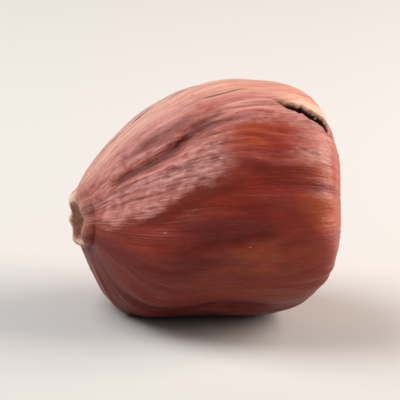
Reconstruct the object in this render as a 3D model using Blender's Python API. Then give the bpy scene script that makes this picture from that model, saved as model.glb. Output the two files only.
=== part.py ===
"""A shelled hazelnut kernel in its brown skin, lying on its side, as one closed solid.

Metres, +Z up. The kernel's axis lies along X, with the broad base at +X and the pointed tip at -X.
The origin is on the surface that the kernel rests on, under the middle of its outline.
"""

import math

import bmesh
import bpy
import numpy as np
from mathutils import Vector, noise

# Driving sizes
LENGTH = 0.0151
WIDTH = 0.0144
HEIGHT = 0.0137
BELLY_FROM_BASE = 0.0054
BUTTON_LENGTH = 0.0008
BUTTON_RADIUS = 0.00185
NECK_RADIUS = 0.00185
TIP_DROOP = 0.0015
TIP_SLANT = 0.17
BASE_SLANT = 0.12
REST_TILT = math.radians(-2.0)
REST_FLAT_DEPTH = 0.00012

# How square the base is, along the axis and across it, and how full the flank towards the tip is.
# The underside is squarer and fuller, most of all at one angle, less up to another and then not at all
BASE_FULLNESS_ALONG = 3.8
BASE_FULLNESS_ACROSS = 2.6
FLANK_FULLNESS = 2.14
UNDER_BASE_FULLNESS = 9.0
UNDER_FLANK_FULLNESS = 5.0
UNDER_MIDDLE = math.radians(165.0)
UNDER_FULL = math.radians(40.0)
UNDER_NONE = math.radians(100.0)

# Pale button at the tip, rounded at its rim, with a small pit where the root would come out
BUTTON_ROUNDNESS = 2.0
PIT_RADIUS = 0.0016
PIT_DEPTH = 0.00045
PIT_FLOOR = 0.25
PIT_REACH = (0.5, 1.2)
TIP_RAGS = 0.00026
TIP_RAGS_ROUND = 2.2
TIP_RAGS_FROM = 0.90
TIP_RAGS_TO = 0.97

# Rough scar at the base, where the kernel hung in its shell
SCAR_RADIUS = 0.0038
SCAR_SHIFT = 0.0010
SCAR_DEPTH = 0.00040
SCAR_RIM_HEIGHT = 0.00016
SCAR_RIM_WIDTH = 0.0011
SCAR_RAGGEDNESS = 0.10
SCAR_RAGS_ROUND = 2.5
SCAR_FLOOR = 0.45
SCAR_LUMPS = 0.00022
LUMPS_PER_METRE = 1300.0

# Broad flats from base to tip: waves round the girth, height, phase in degrees
LOBE_FADE = 0.5
LOBES = ((2, 0.00010, 50.0), (3, 0.00016, 75.0), (5, 0.00007, 200.0))

# Long low crests, and furrows where the height is below zero. Angles are in degrees round the axis,
# 0 at the top and 90 on the -Y side. Each is: angle at the tip, angle at the belly, nearest the base,
# nearest the tip (shares of the length from base to tip), height, width before and after its line,
# unevenness along its line
FOLDS = (
    (86.0, 50.0, 0.36, 0.98, 0.00042, 0.0048, 0.0010, 0.2),
    (38.0, 22.0, 0.42, 0.93, -0.00024, 0.0008, 0.0013, 0.7),
    (22.0, 10.0, 0.50, 0.92, -0.00012, 0.0006, 0.0010, 0.7),
    (20.0, 16.0, 0.34, 0.62, -0.00010, 0.0007, 0.0010, 0.6),
    (6.0, 3.0, 0.34, 0.70, -0.00010, 0.0005, 0.0009, 0.6),
    (100.0, 92.0, 0.12, 0.66, -0.00006, 0.0012, 0.0016, 0.5),
    (118.0, 122.0, 0.15, 0.90, 0.00008, 0.0016, 0.0030, 0.4),
    (150.0, 138.0, 0.10, 0.90, -0.00014, 0.0009, 0.0015, 0.6),
    (205.0, 214.0, 0.12, 0.94, -0.00018, 0.0016, 0.0010, 0.6),
    (226.0, 236.0, 0.20, 0.96, 0.00018, 0.0012, 0.0036, 0.3),
    (272.0, 268.0, 0.08, 0.95, -0.00020, 0.0010, 0.0016, 0.6),
    (301.0, 297.0, 0.28, 0.88, -0.00012, 0.0009, 0.0012, 0.6),
    (338.0, 335.0, 0.10, 0.94, -0.00016, 0.0014, 0.0009, 0.6),
)
FOLD_TURN_FROM = 0.35
FOLD_WANDER = math.radians(5.0)
FOLD_WAVES = 7.0
FOLD_BREAKS = 16.0
FOLD_BASE_FADE = 0.2
FOLD_TIP_FADE = 0.1

# Ribs of the dried skin: how closely they stand round the girth and change along the length
RIBS_ROUND = 6.6
RIBS_ALONG = 3.4
RIB_HEIGHT = 0.00013
RIB_STEEPNESS = 2.2
RIB_CREASE_LEVEL = 0.5
RIB_SOFTNESS = 0.06
WANDER_TURN = 0.14
WANDER_ROUND = 1.3
WANDER_ALONG = 4.0
PATCH_ROUND = 1.5
PATCH_ALONG = 2.5
PATCH_SHIFT = 9.0
PATCH_FLOOR = 0.35
PATCH_RISE = (-0.35, 0.25)
PATCH_TOP_ANGLE = 0.6
PATCH_TOP_GAIN = 0.3
FULL_RIB_RADIUS = 0.0062

# Where the ribs and furrows die away: at the tip, round the scar and on the resting spot
CALM_TIP_FROM = 0.88
CALM_TIP_TO = 0.95
CALM_SCAR_FROM = 0.9
CALM_SCAR_TO = 1.5
CALM_UNDER_FROM = math.radians(14.0)
CALM_UNDER_TO = math.radians(34.0)
CALM_UNDER_NEAR_BASE = (0.06, 0.14)
CALM_UNDER_NEAR_TIP = (0.66, 0.80)

# Lip of loose skin over an open crack, from the belly to the base
CRACK_FROM = 0.36
CRACK_TO = 0.11
CRACK_ANGLE_AT_BELLY = math.radians(10.0)
CRACK_ANGLE_AT_BASE = math.radians(28.5)
CRACK_ZIGZAG = math.radians(2.4)
CRACK_ZIGZAGS = 14.0
CRACK_FADE_AT_BELLY = 0.16
CRACK_FADE_AT_BASE = 0.015
CRACK_DEPTH = 0.00034
CRACK_WALL = 0.00024
CRACK_WIDTH = 0.0006
LIP_HEIGHT = 0.00022
LIP_WIDTH = 0.0026
CALM_BY_CRACK = 0.75

# Mesh. The rows are closer at the tip, and the sides are closer round the crack
RINGS = 46
SIDES = 128
TIP_CLOSENESS = 2.0
TIP_CLOSE_FROM = 0.80
TIP_CLOSE_TO = 0.95
CRACK_CLOSENESS = 0.28
OUTLINE_SAMPLES = 4000
SEED = 41.0

# Places in the noise, far enough apart for every kind of relief to get its own
FOLD_STEP = 3.0
CRACK_PLACE = 7.0
SCAR_EDGE_PLACE = 11.0
TIP_PLACE = 17.0
LUMPS_PLACE = 30.0

SKIN_COLOUR = (0.235, 0.062, 0.030, 1.0)
SKIN_ROUGHNESS = 0.42

BELLY_RADIUS = (WIDTH + HEIGHT) / 4.0


def smooth_step(low, high, value):
    """0 below low, 1 above high, and a smooth rise between."""
    share = np.clip((value - low) / (high - low), 0.0, 1.0)
    return share * share * (3.0 - 2.0 * share)


def skin_noise(x, y, z):
    """Smooth seeded noise from -1 to 1."""
    return noise.noise(Vector((x + SEED, y - SEED, z + 0.5 * SEED)))


def base_line(turn):
    """The base, from its middle to the belly: along on top and under, radius on top and under."""
    across = np.sin(turn) ** (2.0 / BASE_FULLNESS_ACROSS)
    top = 1.0 - np.cos(turn) ** (2.0 / BASE_FULLNESS_ALONG)
    under = 1.0 - (1.0 - across**UNDER_BASE_FULLNESS) ** (1.0 / BASE_FULLNESS_ALONG)
    return np.stack([BELLY_FROM_BASE * top, BELLY_FROM_BASE * under, across, across])


def flank_line(steps):
    """The flank: the same lines from the belly to the neck."""
    neck = NECK_RADIUS / BELLY_RADIUS
    along = BELLY_FROM_BASE + steps * (LENGTH - BUTTON_LENGTH - BELLY_FROM_BASE)
    top = neck + (1.0 - neck) * (1.0 - steps**FLANK_FULLNESS)
    under = neck + (1.0 - neck) * (1.0 - steps**UNDER_FLANK_FULLNESS)
    return np.stack([along, along, top, under])


def button_line(steps):
    """The button: the same lines from the neck to the middle of the tip."""
    swell = smooth_step(0.0, 0.5, steps)
    along = LENGTH - BUTTON_LENGTH + BUTTON_LENGTH * steps
    across = (NECK_RADIUS + (BUTTON_RADIUS - NECK_RADIUS) * swell) / BELLY_RADIUS
    across *= (1.0 - steps**BUTTON_ROUNDNESS) ** (1.0 / BUTTON_ROUNDNESS)
    return np.stack([along, along, across, across])


def outline():
    """Distances along the axis and shares of the belly's radius, from the base's middle to the tip's."""
    steps = np.linspace(0.0, 1.0, OUTLINE_SAMPLES)
    base = base_line(steps * math.pi / 2.0)
    return np.hstack([base, flank_line(steps)[:, 1:], button_line(steps)[:, 1:]])


def even_rings(lines, count):
    """count points along the outline, both ends included, at steps that shorten towards the tip."""
    along, _, across, _ = lines
    steps = np.hypot(np.diff(along), np.diff(across * BELLY_RADIUS))
    near_tip = smooth_step(TIP_CLOSE_FROM * LENGTH, TIP_CLOSE_TO * LENGTH, along[1:])
    steps *= 1.0 + TIP_CLOSENESS * near_tip
    travelled = np.concatenate([[0.0], np.cumsum(steps)])
    wanted = np.linspace(0.0, travelled[-1], count)
    return [np.interp(wanted, travelled, line) for line in lines]


def round_apart(angle, other):
    """Signed turn from other to angle, between minus and plus half a turn."""
    return (angle - other + math.pi) % (2.0 * math.pi) - math.pi


def round_noise(angle, closeness, x_shift, z):
    """Noise that closes on itself round the girth."""
    return skin_noise(closeness * math.cos(angle) + x_shift, closeness * math.sin(angle), z)


def top_or_under(top, under, angle):
    """The underside is fuller than the top towards both ends."""
    apart = abs(round_apart(angle, UNDER_MIDDLE))
    return under + (top - under) * smooth_step(UNDER_FULL, UNDER_NONE, apart)


def fold_height(share, angle, girth_radius):
    """Height of the long crests and furrows at a share of the length and an angle."""
    height = 0.0
    towards_tip = smooth_step(FOLD_TURN_FROM, 1.0, share)
    for index, (tip_deg, belly_deg, base_end, tip_end, top, before, after, uneven) in enumerate(FOLDS):
        middle = math.radians(belly_deg + (tip_deg - belly_deg) * towards_tip)
        middle += FOLD_WANDER * skin_noise(FOLD_STEP * index, FOLD_WAVES * share, 0.0)
        apart = round_apart(angle, middle) * girth_radius
        width = before if apart < 0.0 else after
        inside = smooth_step(base_end, base_end + FOLD_BASE_FADE, share)
        inside *= 1.0 - smooth_step(tip_end - FOLD_TIP_FADE, tip_end, share)
        inside *= 1.0 + uneven * skin_noise(FOLD_STEP * index, 0.0, FOLD_BREAKS * share)
        height += top * inside * math.exp(-((2.0 * apart / width) ** 2))
    return height * min(1.0, girth_radius / FULL_RIB_RADIUS)


def rib_height(share, angle, girth_radius):
    """Rounded ribs between narrow creases, from base to tip. They wander, and fade in places."""
    wander = WANDER_TURN * round_noise(angle, WANDER_ROUND, 0.0, WANDER_ALONG * share)
    crease = round_noise(angle + wander, RIBS_ROUND, 0.0, RIBS_ALONG * share)
    swell = RIB_STEEPNESS * math.hypot(crease, RIB_SOFTNESS) - RIB_CREASE_LEVEL
    patch = round_noise(angle, PATCH_ROUND, PATCH_SHIFT, PATCH_ALONG * share)
    patch += PATCH_TOP_GAIN * math.cos(angle - PATCH_TOP_ANGLE)
    strength = PATCH_FLOOR + (1.0 - PATCH_FLOOR) * smooth_step(*PATCH_RISE, patch)
    return RIB_HEIGHT * strength * swell * min(1.0, girth_radius / FULL_RIB_RADIUS)


def crack_angle(share):
    """Angle of the crack at a share of the length, with its small zigzags."""
    along = (CRACK_FROM - share) / (CRACK_FROM - CRACK_TO)
    along = min(max(along, 0.0), 1.0)
    straight = CRACK_ANGLE_AT_BELLY + (CRACK_ANGLE_AT_BASE - CRACK_ANGLE_AT_BELLY) * along
    return straight + CRACK_ZIGZAG * skin_noise(CRACK_ZIGZAGS * along, 0.0, CRACK_PLACE)


def side_angles(share):
    """Angles of the sides. They are closest together at the crack and run along it."""
    crack = crack_angle(share)
    turn = np.arange(SIDES) * 2.0 * math.pi / SIDES
    bend = (crack - CRACK_ANGLE_AT_BASE) * (0.5 + 0.5 * np.cos(turn))
    return CRACK_ANGLE_AT_BASE + turn - CRACK_CLOSENESS * np.sin(turn) + bend


def crack_opening(share):
    """How far the crack is open, from 0 at its ends to 1."""
    near_base = smooth_step(CRACK_TO - CRACK_FADE_AT_BASE, CRACK_TO + CRACK_FADE_AT_BASE, share)
    return near_base * (1.0 - smooth_step(CRACK_FROM - CRACK_FADE_AT_BELLY, CRACK_FROM, share))


def lip_height(share, angle, girth_radius):
    """The lip stands proud on its own side of the crack, and the crack sinks beside it."""
    apart = round_apart(angle, crack_angle(share)) * girth_radius
    wall = smooth_step(0.0, CRACK_WALL, apart)
    lip = LIP_HEIGHT * (1.0 - smooth_step(0.0, LIP_WIDTH, -apart))
    gap = CRACK_DEPTH * (1.0 - smooth_step(CRACK_WALL, CRACK_WIDTH, apart))
    return crack_opening(share) * (lip * (1.0 - wall) - gap * wall)


def calm_by_crack(share, angle, girth_radius):
    """Share of the fine relief that is left beside the crack."""
    apart = round_apart(angle, crack_angle(share)) * girth_radius
    return 1.0 - CALM_BY_CRACK * crack_opening(share) * math.exp(-((apart / LIP_WIDTH) ** 2))


def from_scar(angle, girth_radius):
    """Distance and angle from the middle of the scar, which sits off the axis towards the -Y side."""
    side = girth_radius * math.sin(angle) - SCAR_SHIFT
    up = girth_radius * math.cos(angle)
    return math.hypot(side, up), math.atan2(side, up)


def scar_height(along, angle, girth_radius):
    """The scar is a shallow lumpy dish inside a low ragged rim."""
    if along > BELLY_FROM_BASE:
        return 0.0
    out, turn = from_scar(angle, girth_radius)
    edge = SCAR_RADIUS * (1.0 + SCAR_RAGGEDNESS * round_noise(turn, SCAR_RAGS_ROUND, 0.0, SCAR_EDGE_PLACE))
    inside = 1.0 - smooth_step(SCAR_FLOOR * edge, edge, out)
    lumps = SCAR_LUMPS * round_noise(turn, LUMPS_PER_METRE * out, 0.0, LUMPS_PLACE)
    rim = SCAR_RIM_HEIGHT * math.exp(-((2.0 * (out - edge) / SCAR_RIM_WIDTH) ** 2))
    return rim + inside * (lumps - SCAR_DEPTH)


def tip_rag_height(share, angle, girth_radius):
    """The button's rim is uneven."""
    near_tip = smooth_step(TIP_RAGS_FROM, TIP_RAGS_TO, share) * min(1.0, girth_radius / NECK_RADIUS)
    return TIP_RAGS * near_tip * round_noise(angle, TIP_RAGS_ROUND, 0.0, TIP_PLACE)


def lobe_height(share, angle):
    """Broad flats that die away at both ends."""
    swell = math.sin(math.pi * min(max(share, 0.0), 1.0)) ** LOBE_FADE
    return swell * sum(h * math.cos(n * angle + math.radians(p)) for n, h, p in LOBES)


def calm(share, angle, girth_radius):
    """Share of the ribs and furrows left here: none at the tip, in the scar and where it rests."""
    left = 1.0 - smooth_step(CALM_TIP_FROM, CALM_TIP_TO, share)
    if share < 0.5:
        out = from_scar(angle, girth_radius)[0]
        left *= smooth_step(CALM_SCAR_FROM * SCAR_RADIUS, CALM_SCAR_TO * SCAR_RADIUS, out)
    under = smooth_step(CALM_UNDER_FROM, CALM_UNDER_TO, abs(round_apart(angle, math.pi)))
    under = max(under, 1.0 - smooth_step(*CALM_UNDER_NEAR_BASE, share))
    under = max(under, smooth_step(*CALM_UNDER_NEAR_TIP, share))
    return left * under * calm_by_crack(share, angle, girth_radius)


def relief(along, angle, girth_radius):
    """Height of the skin over the smooth form."""
    share = along / LENGTH
    ribs = rib_height(share, angle, girth_radius) + fold_height(share, angle, girth_radius)
    height = lobe_height(share, angle) + ribs * calm(share, angle, girth_radius)
    height += lip_height(share, angle, girth_radius) + tip_rag_height(share, angle, girth_radius)
    return height + scar_height(along, angle, girth_radius)


def kernel_rings():
    """Rows of points round the kernel from base to tip, before it is laid down."""
    along, under_along, across, under = even_rings(outline(), RINGS)
    run = np.gradient(along)
    rise = np.gradient(across * BELLY_RADIUS)
    size = np.hypot(run, rise)
    rows = []
    for ring in range(RINGS):
        outward = run[ring] / size[ring]
        forward = -rise[ring] / size[ring]
        towards_tip = max(0.0, (along[ring] - BELLY_FROM_BASE) / (LENGTH - BELLY_FROM_BASE))
        sag = TIP_DROOP * towards_tip**2
        row = []
        for angle in side_angles(along[ring] / LENGTH):
            radius = top_or_under(across[ring], under[ring], angle)
            start = top_or_under(along[ring], under_along[ring], angle)
            height = relief(along[ring], angle, radius * BELLY_RADIUS)
            y = -(radius * WIDTH / 2.0 + height * outward) * math.sin(angle)
            z = (radius * HEIGHT / 2.0 + height * outward) * math.cos(angle)
            x = BELLY_FROM_BASE - start - height * forward
            x += BASE_SLANT * z * (1.0 - towards_tip) - TIP_SLANT * z * towards_tip**3
            row.append(Vector((x, y, z - sag)))
        rows.append(row)
    return rows


def loft(rows):
    """Skins the rows, with one point at each pole. Returns the bmesh and the tip's pole."""
    mesh = bmesh.new()
    base_pole = mesh.verts.new(sum(rows[0], Vector()) / SIDES)
    tip_pole = mesh.verts.new(sum(rows[-1], Vector()) / SIDES)
    loops = [[mesh.verts.new(point) for point in row] for row in rows[1:-1]]
    for near, far in zip(loops, loops[1:]):
        for side in range(SIDES):
            after = (side + 1) % SIDES
            mesh.faces.new((near[side], near[after], far[after], far[side]))
    for side in range(SIDES):
        after = (side + 1) % SIDES
        mesh.faces.new((base_pole, loops[0][after], loops[0][side]))
        mesh.faces.new((tip_pole, loops[-1][side], loops[-1][after]))
    return mesh, tip_pole


def sink_tip_pit(mesh, tip_pole):
    """Presses the small pit into the middle of the tip's button."""
    end = tip_pole.co.copy()
    for vertex in mesh.verts:
        apart = math.hypot(vertex.co.y - end.y, vertex.co.z - end.z)
        from_end = (vertex.co.x - end.x) / BUTTON_LENGTH
        near_end = 1.0 - smooth_step(*PIT_REACH, from_end)
        vertex.co.x += PIT_DEPTH * near_end * (1.0 - smooth_step(PIT_FLOOR, 1.0, apart / PIT_RADIUS))


def lay_down(mesh):
    """Tilts the kernel as it rests, flattens its lowest spot and sets the origin under its middle."""
    turn = np.array(
        [[math.cos(REST_TILT), -math.sin(REST_TILT)], [math.sin(REST_TILT), math.cos(REST_TILT)]]
    )
    for vertex in mesh.verts:
        vertex.co.x, vertex.co.z = turn @ (vertex.co.x, vertex.co.z)
    floor = min(vertex.co.z for vertex in mesh.verts) + REST_FLAT_DEPTH
    for vertex in mesh.verts:
        vertex.co.z = max(vertex.co.z, floor)
    corners = np.array([vertex.co for vertex in mesh.verts])
    middle = (corners.min(axis=0) + corners.max(axis=0)) / 2.0
    bmesh.ops.translate(mesh, verts=mesh.verts, vec=(-middle[0], -middle[1], -floor))


def skin_material():
    """Reddish brown skin with a soft sheen."""
    material = bpy.data.materials.new("brown_skin")
    material.use_nodes = True
    shader = material.node_tree.nodes["Principled BSDF"]
    shader.inputs["Base Color"].default_value = SKIN_COLOUR
    shader.inputs["Roughness"].default_value = SKIN_ROUGHNESS
    shader.inputs["Metallic"].default_value = 0.0
    return material


def build_kernel():
    """The one piece: kernel and skin grew together."""
    mesh, tip_pole = loft(kernel_rings())
    sink_tip_pit(mesh, tip_pole)
    lay_down(mesh)
    bmesh.ops.triangulate(mesh, faces=mesh.faces)
    bmesh.ops.recalc_face_normals(mesh, faces=mesh.faces)
    data = bpy.data.meshes.new("kernel")
    mesh.to_mesh(data)
    mesh.free()
    data.shade_smooth()
    data.materials.append(skin_material())
    kernel = bpy.data.objects.new("kernel", data)
    bpy.context.scene.collection.objects.link(kernel)
    return kernel


def main():
    for old in list(bpy.data.objects):
        bpy.data.objects.remove(old)
    build_kernel()


if __name__ == "__main__":
    main()
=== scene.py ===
"""The looks of a shelled hazelnut kernel in its brown skin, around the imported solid.

The kernel is made again from the same rule as the solid, with many more rows and sides. A node tree
adds the fine relief of the dried skin, and further trees set the small scraps of skin and fibres.
Places on the kernel are given by the share of its length from the base (0) to the tip (1) and by the
angle round its axis, 0 at the top and a quarter turn on the side towards the camera.
"""

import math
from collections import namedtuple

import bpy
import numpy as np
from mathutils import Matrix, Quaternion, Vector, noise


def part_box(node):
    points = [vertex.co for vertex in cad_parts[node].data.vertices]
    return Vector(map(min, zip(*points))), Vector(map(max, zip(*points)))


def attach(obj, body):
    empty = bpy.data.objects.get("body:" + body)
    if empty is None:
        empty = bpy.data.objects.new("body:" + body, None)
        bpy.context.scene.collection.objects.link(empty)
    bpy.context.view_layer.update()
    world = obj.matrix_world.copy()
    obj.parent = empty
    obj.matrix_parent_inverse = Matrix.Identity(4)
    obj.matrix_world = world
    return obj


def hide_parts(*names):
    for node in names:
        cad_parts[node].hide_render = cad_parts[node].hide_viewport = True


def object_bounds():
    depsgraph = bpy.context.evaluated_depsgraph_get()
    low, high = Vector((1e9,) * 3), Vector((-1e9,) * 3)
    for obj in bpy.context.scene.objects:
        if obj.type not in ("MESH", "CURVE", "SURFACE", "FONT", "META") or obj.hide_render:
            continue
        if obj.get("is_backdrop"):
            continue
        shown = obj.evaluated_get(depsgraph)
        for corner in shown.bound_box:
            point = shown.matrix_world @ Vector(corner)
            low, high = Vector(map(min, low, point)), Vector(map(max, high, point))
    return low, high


bl_info = {
    "name": "Hazelnut Kernel",
    "version": (1, 0, 0),
    "blender": (4, 5, 0),
    "location": "3D View > Sidebar > Hazelnut",
    "description": "Dresses the packed hazelnut kernel in its wrinkled brown skin",
    "category": "Object",
}

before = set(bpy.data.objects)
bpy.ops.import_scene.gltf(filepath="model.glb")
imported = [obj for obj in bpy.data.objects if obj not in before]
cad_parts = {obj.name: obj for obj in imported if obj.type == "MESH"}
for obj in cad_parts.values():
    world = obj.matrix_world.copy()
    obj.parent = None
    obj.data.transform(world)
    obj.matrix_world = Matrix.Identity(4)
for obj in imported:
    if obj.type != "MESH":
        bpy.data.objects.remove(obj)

BODY = "root"
NODE = "kernel"
CAD_LOW, CAD_HIGH = (np.array(corner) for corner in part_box(NODE))

# The smooth form, as in the solid
LENGTH = 0.0151
WIDTH = 0.0144
HEIGHT = 0.0137
BELLY_RADIUS = (WIDTH + HEIGHT) / 4.0
BELLY_FROM_BASE = 0.0054
BUTTON_LENGTH = 0.0008
BUTTON_RADIUS = 0.00185
NECK_RADIUS = 0.00185
TIP_DROOP = 0.0015
TIP_SLANT = 0.17
BASE_SLANT = 0.12
REST_TILT = math.radians(-2.0)
REST_FLAT_DEPTH = 0.00012
BASE_FULLNESS_ALONG = 3.8
BASE_FULLNESS_ACROSS = 2.6
FLANK_FULLNESS = 2.14
UNDER_BASE_FULLNESS = 9.0
UNDER_FLANK_FULLNESS = 5.0
UNDER_MIDDLE = math.radians(165.0)
UNDER_FADE = (math.radians(40.0), math.radians(100.0))
BUTTON_ROUNDNESS = 2.0
BUTTON_SWELL = (0.0, 0.5)
PIT_RADIUS = 0.0016
PIT_DEPTH = 0.00045
PIT_FLOOR = 0.25
PIT_REACH = (0.5, 1.2)
TIP_RAGS = 0.00026
TIP_RAGS_ROUND = 2.2
TIP_RAGS_REACH = (0.90, 0.97)

# Scar at the base
SCAR_RADIUS = 0.0038
SCAR_SHIFT = 0.0010
SCAR_DEPTH = 0.00040
SCAR_RIM_HEIGHT = 0.00016
SCAR_RIM_WIDTH = 0.0011
SCAR_RAGGEDNESS = 0.10
SCAR_RAGS_ROUND = 2.5
SCAR_FLOOR = 0.45
SCAR_LUMPS = 0.00022
LUMPS_PER_METRE = 1300.0

# Broad flats: waves round the girth, height, phase in degrees
LOBE_FADE = 0.5
LOBES = ((2, 0.00010, 50.0), (3, 0.00016, 75.0), (5, 0.00007, 200.0))

# Long low crests, and furrows where the height is below zero: angle at the tip, angle at the belly,
# nearest the base, nearest the tip, height, width before and after its line, unevenness
FOLDS = (
    (86.0, 50.0, 0.36, 0.98, 0.00042, 0.0048, 0.0010, 0.2),
    (38.0, 22.0, 0.42, 0.93, -0.00024, 0.0008, 0.0013, 0.7),
    (22.0, 10.0, 0.50, 0.92, -0.00012, 0.0006, 0.0010, 0.7),
    (20.0, 16.0, 0.34, 0.62, -0.00010, 0.0007, 0.0010, 0.6),
    (6.0, 3.0, 0.34, 0.70, -0.00010, 0.0005, 0.0009, 0.6),
    (100.0, 92.0, 0.12, 0.66, -0.00006, 0.0012, 0.0016, 0.5),
    (118.0, 122.0, 0.15, 0.90, 0.00008, 0.0016, 0.0030, 0.4),
    (150.0, 138.0, 0.10, 0.90, -0.00014, 0.0009, 0.0015, 0.6),
    (205.0, 214.0, 0.12, 0.94, -0.00018, 0.0016, 0.0010, 0.6),
    (226.0, 236.0, 0.20, 0.96, 0.00018, 0.0012, 0.0036, 0.3),
    (272.0, 268.0, 0.08, 0.95, -0.00020, 0.0010, 0.0016, 0.6),
    (301.0, 297.0, 0.28, 0.88, -0.00012, 0.0009, 0.0012, 0.6),
    (338.0, 335.0, 0.10, 0.94, -0.00016, 0.0014, 0.0009, 0.6),
)
# Painted shade along the middle of each fold's line: how dark it is
FOLD_SHADE = (0.0, 1.0, 0.1, 0.1, 0.1, 0.0, 0.0, 0.3, 0.7, 0.0, 0.9, 0.1, 0.5)
FOLD_TURN_FROM = 0.35
FOLD_WANDER = math.radians(5.0)
FOLD_WAVES = 7.0
FOLD_BREAKS = 16.0
# Width of the painted shade along a furrow's core
FURROW_SHADE_WIDTH = 0.00025
KEEL_REACH = 6.0
FOLD_FADES = (0.2, 0.1)

# Ribs of the dried skin
RIBS_ROUND = 6.6
RIBS_ALONG = 3.4
RIB_HEIGHT = 0.00013
RIB_STEEPNESS = 2.2
RIB_CREASE_LEVEL = 0.5
RIB_SOFTNESS = 0.06
WANDER_TURN = 0.14
WANDER_ROUND = 1.3
WANDER_ALONG = 4.0
PATCH_ROUND = 1.5
PATCH_ALONG = 2.5
PATCH_SHIFT = 9.0
PATCH_FLOOR = 0.35
PATCH_RISE = (-0.35, 0.25)
PATCH_TOP_ANGLE = 0.6
PATCH_TOP_GAIN = 0.3
FULL_RIB_RADIUS = 0.0062

# Where the ribs and furrows die away
CALM_TIP = (0.88, 0.95)
CALM_BASE_HALF = 0.5
CALM_SCAR = (0.9, 1.5)
CALM_UNDER = (math.radians(14.0), math.radians(34.0))
CALM_UNDER_NEAR_BASE = (0.06, 0.14)
CALM_UNDER_NEAR_TIP = (0.66, 0.80)

# Crack and its lip. The wall is steeper than the solid's and the edge has finer zigzags
CRACK_FROM = 0.36
CRACK_TO = 0.11
CRACK_ANGLE_AT_BELLY = math.radians(10.0)
CRACK_ANGLE_AT_BASE = math.radians(28.5)
CRACK_ZIGZAG = math.radians(2.4)
CRACK_ZIGZAGS = 14.0
FINE_ZIGZAG = math.radians(0.9)
FINE_ZIGZAGS = 60.0
FINE_ZIGZAG_PLACE = 5.0
CRACK_FADES = (0.03, 0.16)
CRACK_ENDS = (CRACK_TO - CRACK_FADES[0] / 2.0, CRACK_FROM)
CRACK_DEPTH = 0.00034
CRACK_WALL = 0.00012
CRACK_WIDTH = 0.0006
LIP_HEIGHT = 0.00022
LIP_WIDTH = 0.0026
CALM_BY_CRACK = 0.75

# Thin tear in the pale skin beyond the crack, painted as a dark line of shade without a groove
TEAR_ENDS = (0.33, 0.62)
TEAR_FADES = (0.09, 0.09)
TEAR_ANGLE = math.radians(2.0)
TEAR_WANDER = math.radians(1.2)
TEAR_WAVES = 5.0
TEAR_RIPPLE = 2.0
TEAR_RIPPLES = 7.0
TEAR_WIDTH = 0.00011
TEAR_SHADE = 0.39

# Values kept for each point, for the finishes
MASKS = ("rib", "lip", "crack", "scar", "scar_rim", "keel", "furrow_shade")
LIP_EDGE = (0.93, 1.0)
FLANK_ENDS = (0.1, 0.93)
FLANK_FADES = (0.1, 0.08)
FLANK_OVER_FLOOR = (0.0012, 0.002)
MILLIMETRES = 1000.0

# How closely the points lie
TIP_CLOSENESS = 2.0
TIP_CLOSE = (0.80, 0.95)
CRACK_CLOSENESS = 0.28
OUTLINE_SAMPLES = 4000
SEED = 41.0

# Places in the noise, far enough apart for every kind of relief to get its own
FOLD_STEP = 3.0
CRACK_PLACE = 7.0
SCAR_EDGE_PLACE = 11.0
TIP_PLACE = 17.0
LUMPS_PLACE = 30.0


# Properties that a user would change


def length_property(name, description, default):
    """A length in metres."""
    return bpy.props.FloatProperty(
        name=name, description=description, default=default, unit="LENGTH", precision=5
    )


def colour_property(name, description, default):
    """A colour as red, green and blue."""
    return bpy.props.FloatVectorProperty(
        name=name, description=description, default=default, subtype="COLOR", size=3, min=0.0, max=1.0
    )


def angle_property(name, description, degrees):
    """An angle, written here in degrees."""
    return bpy.props.FloatProperty(
        name=name, description=description, default=math.radians(degrees), subtype="ANGLE"
    )


def power_property(name, description, default):
    """The power of a lamp in watts."""
    return bpy.props.FloatProperty(name=name, description=description, default=default, unit="POWER")


class HAZELNUT_PG_relief(bpy.types.PropertyGroup):
    rows: bpy.props.IntProperty(
        name="Rows", description="Rows of points from the base to the tip", default=226, min=40
    )
    sides: bpy.props.IntProperty(
        name="Sides", description="Points in each row", default=424, min=60
    )
    fibres: length_property("Fibres", "Height of the fine fibres along the skin", 0.000036)
    wrinkles: length_property("Wrinkles", "Height of the small wrinkles on the top", 0.00013)
    grain: length_property("Grain", "Height of the skin's finest grain", 0.000012)
    seed: bpy.props.IntProperty(name="Seed", description="Seed of the fine relief", default=7)


class HAZELNUT_PG_colours(bpy.types.PropertyGroup):
    skin: colour_property("Skin", "Middle brown of the skin", (0.335, 0.037, 0.016))
    # The dark colour also paints the shade on the underside, in the creases between the ribs and along
    # the furrows
    dark_and_shade: colour_property("Dark", "Dark mahogany of streaks and creases", (0.120, 0.011, 0.005))
    amber: colour_property("Amber", "Orange brown where the skin is thin", (0.420, 0.080, 0.019))
    plum: colour_property("Plum", "Purple brown of the broad stains", (0.185, 0.019, 0.016))
    # The scurf colour also paints the light on the lit side of the keel and on the pale top
    scurf_and_light: colour_property("Scurf", "Dusty pink of dry skin on the ridges", (0.690, 0.325, 0.290))
    # The cream colour also paints the highlight on the ridge along the upper outline and on the tip's
    # rim
    cream_and_highlight: colour_property("Cream", "Pale dry edge of the tip and the lip", (0.860, 0.620, 0.470))
    tan: colour_property("Tan", "Pinkish tan round the cream edges", (0.640, 0.330, 0.235))
    # Painted shade: the near black inside the crack and along the tear
    crack: colour_property("Crack", "Depth of the crack", (0.030, 0.008, 0.005))
    pit: colour_property("Pit", "Brown of the pit in the tip", (0.220, 0.070, 0.040))
    scar: colour_property("Scar", "Fibrous scar at the base", (0.360, 0.165, 0.080))


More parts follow.
